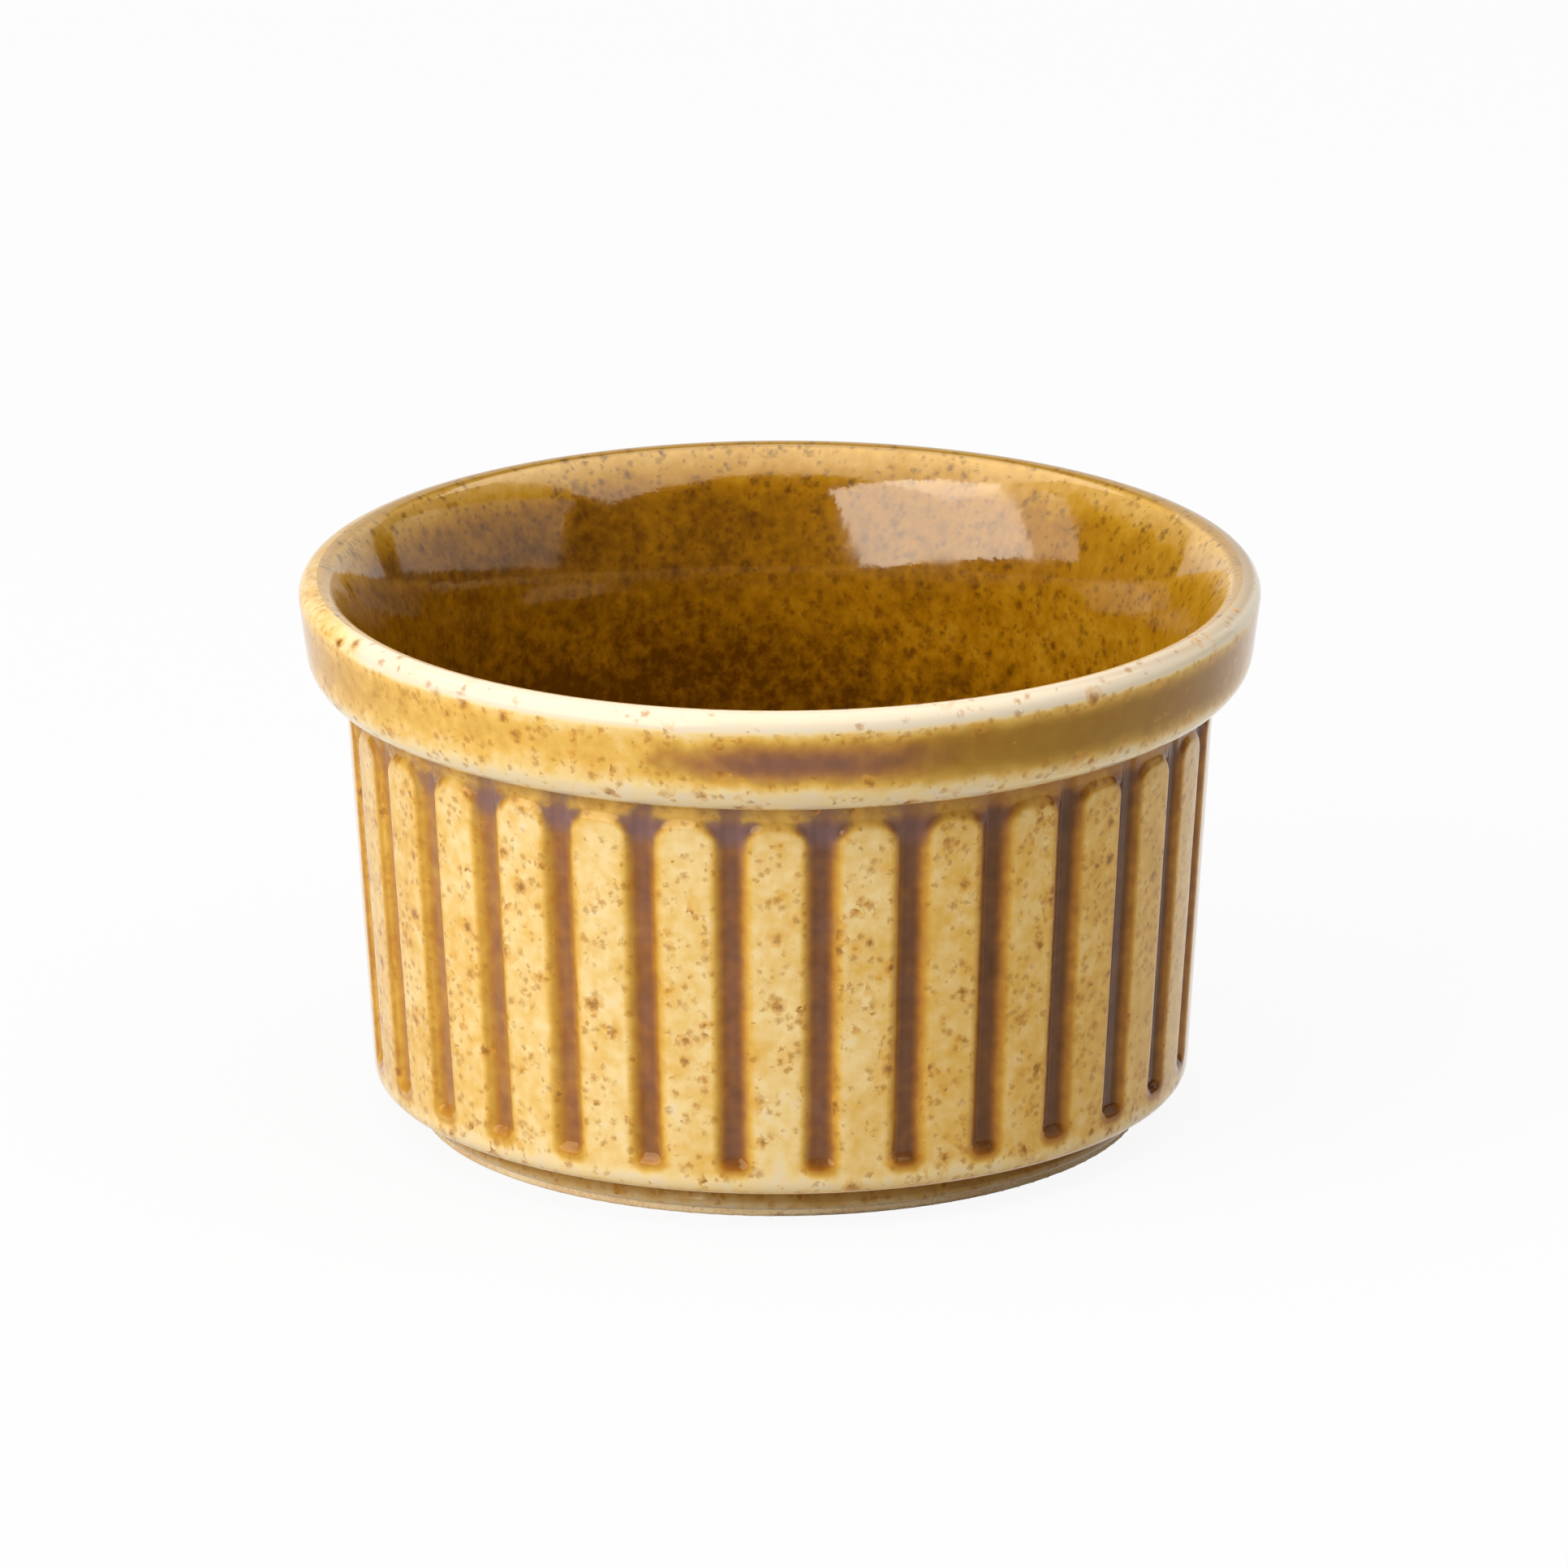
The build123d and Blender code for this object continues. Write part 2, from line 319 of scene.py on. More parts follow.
def outer_section(sizes):
    """Front of the outer coat from the glaze line on the foot up to the crest of the lip."""
    foot_radius = crown_radius(sizes, sizes.foot_height) - sizes.foot_inset
    collar_base = HEIGHT - sizes.collar_height
    neck_base = collar_base - sizes.neck_height
    flute_base = sizes.foot_height + sizes.band_height
    crest_radius = RIM_RADIUS - sizes.lip_round_outer

    roll = arc((foot_radius - sizes.coat, GLAZE_LINE + sizes.coat), sizes.coat, -90, 0, 18)
    shoulder = (foot_radius, sizes.foot_band)
    waist = (foot_radius - sizes.foot_waist, sizes.foot_height)
    edge = (crown_radius(sizes, sizes.foot_height), sizes.foot_height)
    nook = (crown_radius(sizes, collar_base), collar_base)
    lip_centre = (crest_radius, HEIGHT - sizes.lip_round_outer)
    face_top = (
        lip_centre[0] + sizes.lip_round_outer * cos(sizes.collar_lean),
        lip_centre[1] - sizes.lip_round_outer * sin(sizes.collar_lean),
    )
    bead = (face_top[0] - (face_top[1] - collar_base) * tan(sizes.collar_lean), collar_base)

    shoulder_arc = round_corner(roll[-1], shoulder, waist, sizes.foot_shoulder_round, 9)
    waist_arc = round_corner(shoulder, waist, edge, sizes.foot_waist_round)
    edge_arc = round_corner(waist, edge, nook, sizes.wall_edge_round)
    nook_arc = round_corner(edge, nook, bead, sizes.neck_fillet, 22)
    bead_arc = round_corner((0, collar_base), bead, face_top, sizes.collar_round, 8)
    under = nook_arc[-1][0] + sizes.neck_fillet / 2
    bead_arc = [p for p in bead_arc if p[0] > under]

    def wall(low, high, spacing):
        ends = [(crown_radius(sizes, level), level) for level in (low, high)]
        return run(ends[0], ends[1], spacing) + [ends[1]]

    nose_top = flute_base + 1.6 * MM
    arch_low = neck_base - sizes.rib_corner - 0.6 * MM
    front = roll + shoulder_arc + waist_arc + run(waist_arc[-1], edge_arc[0], 0.7 * MM) + edge_arc
    front += wall(edge_arc[-1][1], nose_top, 0.27 * MM)
    front += wall(nose_top, arch_low, 2.2 * MM)
    front += wall(arch_low, neck_base + 0.75 * MM, 0.22 * MM)
    front += nook_arc + bead_arc + run(bead_arc[-1], face_top, 1.0 * MM)
    front += arc(lip_centre, sizes.lip_round_outer, -degrees(sizes.collar_lean), 84, 7)
    front += arc(lip_centre, sizes.lip_round_outer, 89, 90, 1)

    top_of_foot = len(roll + shoulder_arc + waist_arc)
    pools, carves = [], []
    for i, (radius, level) in enumerate(front):
        # On the foot and under the wall's lower edge the glaze darkens towards the nook between them: partly
        # pooled glaze, partly painted shade under the edge.
        if i < top_of_foot:
            pool = blend_between([(0.8, 0.04), (1.4, 0.2), (2.2, 0.32), (3.0, 0.56)], level / MM)
        elif level < edge_arc[-1][1] - MICROMETRE:
            pool = blend_between([(36.0, 0.7), (37.4, 0.45), (38.2, 0.08)], radius / MM)
        elif level < collar_base - sizes.neck_fillet:
            pool = blend_between([(4.0, 0.06), (6.4, 0.16), (37.0, 0.16)], level / MM)
        elif radius < bead_arc[0][0] - MICROMETRE:
            pool = 0.22
        else:
            # At the lip the glaze thins to cream: partly its pale break over the edge, partly a painted
            # highlight.
            pool = blend_between(
                [
                    (41.95, 0.2),
                    (42.5, 0.05),
                    (43.8, 0.07),
                    (45.6, 0.21),
                    (46.8, 0.27),
                    (48.8, 0.28),
                    (49.8, 0.22),
                    (50.7, 0.0),
                ],
                level / MM,
            )
        pools.append(pool)
        on_wall = top_of_foot <= i and radius < bead_arc[0][0] - MICROMETRE
        carves.append(1.0 if on_wall else 0.0)
    return section_mesh("outer_section", front, behind(front, sizes.coat), pools, carves, every=4)


def bowl_line(sizes):
    """Bowl from the axis to the crest of the lip, and where its flare and lip begin."""
    neck_base = HEIGHT - sizes.collar_height - sizes.neck_height
    floor = sizes.foot_recess + sizes.base_thickness
    up = Vector((sin(sizes.bore_lean), cos(sizes.bore_lean)))
    out = Vector((cos(sizes.bore_lean), -sin(sizes.bore_lean)))
    lip = Vector((RIM_RADIUS - sizes.lip_round_outer, HEIGHT - sizes.lip_round_inner))
    start = Vector((crown_radius(sizes, neck_base) - sizes.wall_thickness, neck_base))
    start += out * sizes.flare_radius
    from_lip = start - lip
    climb = from_lip.dot(up)
    reach = sizes.flare_radius - sizes.lip_round_inner
    flare = start - up * (climb + sqrt(climb**2 - from_lip.length_squared + reach**2))
    turn = degrees(atan2(lip.y - flare.y, lip.x - flare.x))
    wall_end = flare - out * sizes.flare_radius
    corner = wall_end - up * ((wall_end.y - floor) / up.y)
    floor_arc = round_corner((0, floor), corner, wall_end, sizes.floor_round, 7)
    line = [(0.0, floor)] + run((0, floor), floor_arc[0], 4 * MM) + floor_arc
    line += run(floor_arc[-1], wall_end, 2 * MM)
    line += arc(flare, sizes.flare_radius, 180 - degrees(sizes.bore_lean), turn, 2.6)
    line += arc(lip, sizes.lip_round_inner, turn, 92, 7)[1:-1]
    line += arc(lip, sizes.lip_round_inner, 91, 90, 1)
    return line


def inner_section(sizes):
    """Front of the liner, from the crest of the lip down to the middle of the bowl."""
    front = bowl_line(sizes)[::-1]
    stops = [
        (6, 0.86),
        (16, 0.98),
        (20, 1.02),
        (31, 0.94),
        (36, 0.8),
        (44, 0.84),
        (48.0, 0.8),
        (49.6, 0.58),
        (50.6, 0.38),
        (51.5, 0.26),
    ]
    pools = [blend_between(stops, level / MM) for _, level in front]
    back = behind(front, sizes.coat)
    back[0] = (front[0][0], front[0][1] - sizes.coat)
    back[-1] = (0.0, front[-1][1] - sizes.coat)
    return section_mesh("inner_section", front, back, pools, [0.0] * len(front))


def base_section(sizes):
    """Front of the patch in the foot's recess, from its rolled edge to the middle."""
    edge = PATCH_HIGH.x
    top = PATCH_HIGH.z
    soft = (PATCH_HIGH.z - PATCH_LOW.z) * 0.8
    front = [(0.0, PATCH_LOW.z)] + run((0, PATCH_LOW.z), (edge - soft, PATCH_LOW.z), 3 * MM)
    front += arc((edge - soft, PATCH_LOW.z + soft), soft, -90, 0, 15)
    stops = [(edge - 3 * MM, 0.34), (edge - 0.8 * MM, 0.6), (edge, 0.2)]
    pools = [blend_between(stops, radius) for radius, _ in front]
    back = [(radius, top) for radius, _ in front]
    return section_mesh("base_section", front, back, pools, [0.0] * len(front))


def add_node(tree, kind, inputs=(), output=0, **settings):
    """Add a node with its settings, link or set its inputs by place or name, and return an output."""
    node = tree.nodes.new(kind)
    for name, value in settings.items():
        setattr(node, name, value)
    for key, value in inputs.items() if isinstance(inputs, dict) else enumerate(inputs):
        if isinstance(value, bpy.types.NodeSocket):
            tree.links.new(value, node.inputs[key])
        else:
            node.inputs[key].default_value = value
    return node.outputs[output] if node.outputs else None


def box_distance(tree, across, along, half, round_size):
    """Distance outside a slot's end with round corners, from the distances past its middle and end."""
    x = add_node(tree, MATH, (across, half), operation="SUBTRACT")
    x = add_node(tree, MATH, (x, round_size), operation="ADD")
    y = add_node(tree, MATH, (along, round_size), operation="ADD")
    corner = add_node(tree, "ShaderNodeCombineXYZ", (x, y, 0.0))
    corner = add_node(tree, VECTOR_MATH, (corner, (0, 0, 0)), operation="MAXIMUM")
    outside = add_node(tree, VECTOR_MATH, (corner,), "Value", operation="LENGTH")
    inside = add_node(tree, MATH, (x, y), operation="MAXIMUM")
    inside = add_node(tree, MATH, (inside, 0.0), operation="MINIMUM")
    both = add_node(tree, MATH, (outside, inside), operation="ADD")
    return add_node(tree, MATH, (both, round_size), operation="SUBTRACT")


def start_tree(name, sizes):
    """New Geometry Nodes tree with its named inputs, and its group input's outputs by name."""
    tree = bpy.data.node_groups.new(name, "GeometryNodeTree")
    tree.interface.new_socket("Geometry", in_out="INPUT", socket_type="NodeSocketGeometry")
    for label, kind, _ in sizes:
        tree.interface.new_socket(label, in_out="INPUT", socket_type=kind)
    tree.interface.new_socket("Geometry", in_out="OUTPUT", socket_type="NodeSocketGeometry")
    return tree, tree.nodes.new("NodeGroupInput").outputs


def revolve(tree, section, resolution):
    """Section turned round the axis: the mesh, the share of a full turn, and each point's section place."""
    place = add_node(tree, "GeometryNodeInputPosition")
    section = add_node(
        tree, STORE, {"Geometry": section, "Name": "section_place", "Value": place}, data_type="FLOAT_VECTOR"
    )
    outline = add_node(tree, "GeometryNodeMeshToCurve", {"Mesh": section})
    circle = add_node(tree, "GeometryNodeCurvePrimitiveCircle", {"Resolution": resolution, "Radius": 1.0})
    share = add_node(tree, MATH, (add_node(tree, "GeometryNodeInputIndex"), resolution), operation="DIVIDE")
    circle = add_node(
        tree, STORE, {"Geometry": circle, "Name": "turn_share", "Value": share}, data_type="FLOAT"
    )
    shell = add_node(tree, "GeometryNodeCurveToMesh", {"Curve": circle, "Profile Curve": outline})
    place = add_node(tree, NAMED, {"Name": "section_place"}, data_type="FLOAT_VECTOR")
    axes = add_node(tree, "ShaderNodeSeparateXYZ", (place,)).node.outputs
    turn = add_node(tree, NAMED, {"Name": "turn_share"}, data_type="FLOAT")
    return shell, turn, axes[0], axes[2]


def round_position(tree, radius, turn, level):
    """Point at a radius, an angle in radians and a height."""
    x = add_node(tree, MATH, (turn,), operation="COSINE")
    x = add_node(tree, MATH, (x, radius), operation="MULTIPLY")
    y = add_node(tree, MATH, (turn,), operation="SINE")
    y = add_node(tree, MATH, (y, radius), operation="MULTIPLY")
    return add_node(tree, "ShaderNodeCombineXYZ", (x, y, level))


def end_tree(tree, shell, material):
    """Weld the axis, shade smooth between sharp edges, and end with plain mesh and material."""
    shell = add_node(tree, "GeometryNodeMergeByDistance", {"Geometry": shell, "Distance": MICROMETRE})
    shell = add_node(tree, "GeometryNodeSetShadeSmooth", {"Geometry": shell, "Shade Smooth": True})
    bend = add_node(tree, "GeometryNodeInputMeshEdgeAngle", output="Unsigned Angle")
    soft = add_node(tree, "FunctionNodeCompare", (bend, SHARP_BEND), operation="LESS_THAN")
    shell = add_node(
        tree, "GeometryNodeSetShadeSmooth", {"Geometry": shell, "Shade Smooth": soft}, domain="EDGE"
    )
    for name in ("section_place", "turn_share", CARVE):
        shell = add_node(tree, "GeometryNodeRemoveAttribute", {"Geometry": shell, "Name": name})
    shell = add_node(tree, "GeometryNodeRealizeInstances", {"Geometry": shell})
    shell = add_node(tree, "GeometryNodeSetMaterial", {"Geometry": shell, "Material": material})
    add_node(tree, "NodeGroupOutput", (shell,))


def fluted_tree(inputs, material):
    """Tree that turns the outer section round, and sinks the flutes and the neck into it."""
    tree, given = start_tree("fluted_coat", inputs)
    flutes = given["Flutes"]
    columns = add_node(tree, MATH, (flutes, given["Columns per flute"]), operation="MULTIPLY")
    shell, turn, radius, level = revolve(tree, given["Geometry"], columns)
    flute_turn = add_node(tree, MATH, (2 * pi, flutes), operation="DIVIDE")

    # Columns crowd towards the middle of each flute, where the surface bends most: their spacing
    # is this share of an even one there.
    crowd = 0.55
    turn = add_node(tree, MATH, (turn, flutes), operation="MULTIPLY")
    nearest = add_node(tree, MATH, (turn,), operation="ROUND")
    part = add_node(tree, MATH, (turn, nearest), operation="SUBTRACT")
    spread = add_node(tree, MATH, (part, part), operation="MULTIPLY")
    spread = add_node(tree, MATH, (spread, 4 * (1 - crowd), crowd), operation="MULTIPLY_ADD")
    part = add_node(tree, MATH, (part, spread), operation="MULTIPLY")
    turn = add_node(tree, MATH, (nearest, part), operation="ADD")
    turn = add_node(tree, MATH, (turn, flute_turn), operation="MULTIPLY")

    # A hand-finished ripple of about 5 mm moves the flutes' edges a little.
    place = round_position(tree, radius, turn, level)
    ripple = add_node(tree, NOISE, {"Vector": place, "Scale": 210.0, "Detail": 2.0, "Roughness": 0.55})
    ripple = add_node(tree, MATH, (ripple, 0.5), operation="SUBTRACT")
    ripple = add_node(tree, MATH, (ripple, given["Ripple range"]), operation="MULTIPLY")
    pitch = add_node(tree, MATH, (radius, flute_turn), operation="MULTIPLY")
    from_flute = add_node(tree, MATH, (part,), operation="ABSOLUTE")
    from_flute = add_node(tree, MATH, (from_flute, pitch, ripple), operation="MULTIPLY_ADD")
    from_rib = add_node(tree, MATH, (pitch, 0.5), operation="MULTIPLY")
    from_rib = add_node(tree, MATH, (from_rib, from_flute), operation="SUBTRACT")

    # Flutes: a bed between two soft shoulders, which ends in a squarish nose above the band.
    foot = given["Flute foot level"]
    above_foot = add_node(tree, MATH, (foot, level), operation="SUBTRACT")
    flare = add_node(tree, FADE, (above_foot, -2.6 * MM, 0.0), **SMOOTH)
    flare = add_node(tree, MATH, (flare, given["Nose flare"]), operation="MULTIPLY")
    half = add_node(tree, MATH, (flare, given["Flute half width"]), operation="ADD")
    off_flute = box_distance(tree, from_flute, above_foot, half, given["Nose round"])
    bed_line = add_node(tree, MATH, (given["Bed blend"], -1.0), operation="MULTIPLY")
    flute = add_node(tree, FADE, (off_flute, bed_line, given["Shoulder"], 1.0, 0.0), **SMOOTH)

    # Neck: the ribs end in arches, and the recess above them is shallower than the flutes.
    above_rib = add_node(tree, MATH, (level, given["Rib top level"]), operation="SUBTRACT")
    off_rib = box_distance(tree, from_rib, above_rib, given["Rib half width"], given["Rib corner round"])
    near_top = add_node(tree, FADE, (above_rib, -2.8 * MM, -1.4 * MM), **SMOOTH)
    neck = add_node(tree, FADE, (off_rib, -0.5 * MM, 0.6 * MM), **SMOOTH)
    neck = add_node(tree, MATH, (neck, near_top), operation="MULTIPLY")

    carve = add_node(tree, NAMED, {"Name": CARVE}, data_type="FLOAT")
    neck_depth = add_node(tree, MATH, (neck, given["Neck depth"]), operation="MULTIPLY")
    depth = add_node(tree, MATH, (flute, given["Flute depth"]), operation="MULTIPLY")
    depth = add_node(tree, MATH, (depth, neck_depth), operation="MAXIMUM")
    depth = add_node(tree, MATH, (depth, carve), operation="MULTIPLY")
    radius = add_node(tree, MATH, (radius, depth), operation="SUBTRACT")

    # Glaze pools in the beds and the neck, and most of all in the gaps between the ribs' tops. In a
    # bed it also ran down a little past the nose.
    past_foot = add_node(tree, MATH, (above_foot, 0.7 * MM), operation="SUBTRACT")
    off_pool = box_distance(tree, from_flute, past_foot, half, given["Nose round"])
    bed = add_node(tree, FADE, (off_pool, -1.0 * MM, 0.8 * MM, given["Bed pool"], 0.0), **SMOOTH)
    under_collar = add_node(tree, FADE, (above_rib, -0.4 * MM, 1.0 * MM, 1.0, 0.5), **SMOOTH)
    bed = add_node(tree, MATH, (bed, under_collar), operation="MULTIPLY")
    # The ribs' tops darken towards the collar: partly glaze pooled in the neck, partly painted shade of the
    # collar.
    over = add_node(tree, FADE, (off_rib, -1.0 * MM, 1.6 * MM, 0.0, given["Neck pool"]), **SMOOTH)
    over = add_node(tree, MATH, (over, near_top), operation="MULTIPLY")
    aside = add_node(tree, FADE, (from_rib, 0.6 * MM, 2.4 * MM, 0.3, 1.0), **SMOOTH)
    gap = add_node(tree, FADE, (off_rib, -0.7 * MM, 0.6 * MM), **SMOOTH)
    high = add_node(tree, FADE, (above_rib, -3.6 * MM, -1.0 * MM), **SMOOTH)
    for mask in (aside, high):
        gap = add_node(tree, MATH, (gap, mask), operation="MULTIPLY")
    top = add_node(tree, FADE, (above_rib, -0.6 * MM, 0.8 * MM, 0.72, 0.2), **SMOOTH)
    filled = add_node(tree, MATH, (gap, top), operation="MULTIPLY")
    sunk = add_node(tree, MATH, (bed, over), operation="MAXIMUM")
    sunk = add_node(tree, MATH, (sunk, filled), operation="MAXIMUM")
    sunk = add_node(tree, MATH, (sunk, carve), operation="MULTIPLY")
    pool = add_node(tree, NAMED, {"Name": POOL}, data_type="FLOAT")
    bare = add_node(tree, MATH, (1.0, pool), operation="SUBTRACT")
    pool = add_node(tree, MATH, (bare, sunk, pool), operation="MULTIPLY_ADD")

    # The purple floats up in those gaps, and faintly in the beds.
    below = add_node(tree, FADE, (off_flute, -1.3 * MM, 0.0, 0.3, 0.0), **SMOOTH)
    top = add_node(tree, FADE, (above_rib, -0.6 * MM, 0.8 * MM, 1.0, 0.8), **SMOOTH)
    milky = add_node(tree, MATH, (gap, top), operation="MULTIPLY")
    milky = add_node(tree, MATH, (milky, below), operation="MAXIMUM")
    milky = add_node(tree, MATH, (milky, carve), operation="MULTIPLY")
    shell = add_node(tree, STORE, {"Geometry": shell, "Name": FLOAT, "Value": milky}, data_type="FLOAT")
    place = round_position(tree, radius, turn, level)
    shell = add_node(tree, "GeometryNodeSetPosition", {"Geometry": shell, "Position": place})
    shell = add_node(tree, STORE, {"Geometry": shell, "Name": POOL, "Value": pool}, data_type="FLOAT")
    end_tree(tree, shell, material)
    return tree


def turned_tree(name, inputs, material):
    """Tree that turns a plain section round the axis."""
    tree, given = start_tree(name, inputs)
    shell, turn, radius, level = revolve(tree, given["Geometry"], given["Columns"])
    turn = add_node(tree, MATH, (turn, 2 * pi), operation="MULTIPLY")
    place = round_position(tree, radius, turn, level)
    shell = add_node(tree, "GeometryNodeSetPosition", {"Geometry": shell, "Position": place})
    end_tree(tree, shell, material)
    return tree


def shape_by_tree(name, section, tree, inputs):
    """Plain mesh object that a tree makes from a section."""
    maker = bpy.data.objects.new(name + "_maker", section)
    bpy.context.scene.collection.objects.link(maker)
    modifier = maker.modifiers.new("shape", "NODES")
    modifier.node_group = tree
    sockets = {s.name: s.identifier for s in tree.interface.items_tree if s.in_out == "INPUT"}
    for label, _, value in inputs:
        modifier[sockets[label]] = value
    bpy.context.view_layer.update()
    graph = bpy.context.evaluated_depsgraph_get()
    mesh = bpy.data.meshes.new_from_object(maker.evaluated_get(graph), depsgraph=graph)
    maker.modifiers.remove(modifier)
    bpy.data.objects.remove(maker)
    mesh.name = name
    if sum(face.center.dot(face.normal) * face.area for face in mesh.polygons) < 0:
        mesh.flip_normals()
    piece = bpy.data.objects.new(name, mesh)
    bpy.context.scene.collection.objects.link(piece)
    return piece


def set_stops(ramp, stops):
    """Give a colour ramp its (place, colour) stops."""
    ramp.elements.remove(ramp.elements[1])
    ramp.elements[0].position, ramp.elements[0].color = stops[0]
    for place, colour in stops[1:]:
        ramp.elements.new(place).color = colour


def start_material(name):
    """New node material: its tree, its shader and the place in millimetres."""
    material = bpy.data.materials.new(name)
    material.use_nodes = True
    tree = material.node_tree
    shader = next(n for n in tree.nodes if n.type == "BSDF_PRINCIPLED")
    place = add_node(tree, "ShaderNodeTexCoord", output="Object")
    place = add_node(tree, VECTOR_MATH, {0: place, "Scale": 1 / MM}, operation="SCALE")
    return material, tree, shader, place


def specks(tree, place, spacing, size, share):
    """Mask of soft specks with ragged edges: spacing and radius in millimetres, share of places filled."""
    ragged = add_node(tree, NOISE, {"Vector": place, "Scale": 1.6 / size, "Detail": 1.0}, "Color")
    ragged = add_node(tree, VECTOR_MATH, (ragged, (0.5, 0.5, 0.5)), operation="SUBTRACT")
    ragged = add_node(tree, VECTOR_MATH, {0: ragged, "Scale": 1.1 * size}, operation="SCALE")
    place = add_node(tree, VECTOR_MATH, (place, ragged), operation="ADD")
    cells = add_node(tree, "ShaderNodeTexVoronoi", {"Vector": place, "Scale": 1 / spacing}).node.outputs
    draw = add_node(tree, "ShaderNodeSeparateColor", (cells["Color"],)).node.outputs
    here = add_node(tree, MATH, (draw[0], share), operation="LESS_THAN")
    unit = size / spacing
    radius = add_node(tree, MATH, (draw[1], unit * 0.7, unit * 0.5), operation="MULTIPLY_ADD")
    edge = add_node(tree, MATH, (cells["Distance"], radius), operation="DIVIDE")
    spot = add_node(tree, FADE, (edge, 0.1, 1.0, 1.0, 0.0), **SMOOTH)
    return add_node(tree, MATH, (spot, here), operation="MULTIPLY")


def swing(tree, share, pattern, reach):
    """Share moved up and down by a pattern about its middle."""
    pattern = add_node(tree, MATH, (pattern, 0.5), operation="SUBTRACT")
    return add_node(tree, MATH, (pattern, reach, share), operation="MULTIPLY_ADD")


def stain(tree, shade, mask, strength, colour):
    """Shade with a colour laid over it by a mask."""
    share = add_node(tree, MATH, (mask, strength), operation="MULTIPLY")
    return add_node(tree, "ShaderNodeMix", {0: share, 6: shade, 7: colour}, 2, data_type="RGBA")


def facing(tree, bearing, turn):
    """Share from -1 to 1 by which a bearing faces a direction."""
    off = add_node(tree, MATH, (bearing, turn), operation="SUBTRACT")
    return add_node(tree, MATH, (off,), operation="COSINE")


def crest_ring(tree, bearing, level, low, high):
    """Mask of the lip's crest between two heights in millimetres, which fades out at the front."""
    back = add_node(tree, FADE, (facing(tree, bearing, radians(75)), -0.7, 0.4))
    crest = add_node(tree, FADE, (level, low, high), **SMOOTH)
    return add_node(tree, MATH, (back, crest), operation="MULTIPLY")


def glaze_surface(tree, shader, place, ior, tint):
    """Glassy surface of a gloss glaze: smooth, with a soft orange peel and broad waves."""
    smear = add_node(tree, NOISE, {"Vector": place, "Scale": 0.2, "Detail": 3.0})
    rough = add_node(tree, FADE, (smear, 0.3, 0.75, 0.05, 0.13), **SMOOTH)
    waves = add_node(tree, NOISE, {"Vector": place, "Scale": 0.22, "Detail": 1.0})
    peel = add_node(tree, NOISE, {"Vector": place, "Scale": 0.9, "Detail": 2.0})
    height = add_node(tree, MATH, (waves, 3.0, peel), operation="MULTIPLY_ADD")
    bump = add_node(tree, "ShaderNodeBump", {"Height": height, "Distance": 0.011 * MM})
    tree.links.new(rough, shader.inputs["Roughness"])
    tree.links.new(bump, shader.inputs["Normal"])
    shader.inputs["IOR"].default_value = ior
    shader.inputs["Specular Tint"].default_value = tint


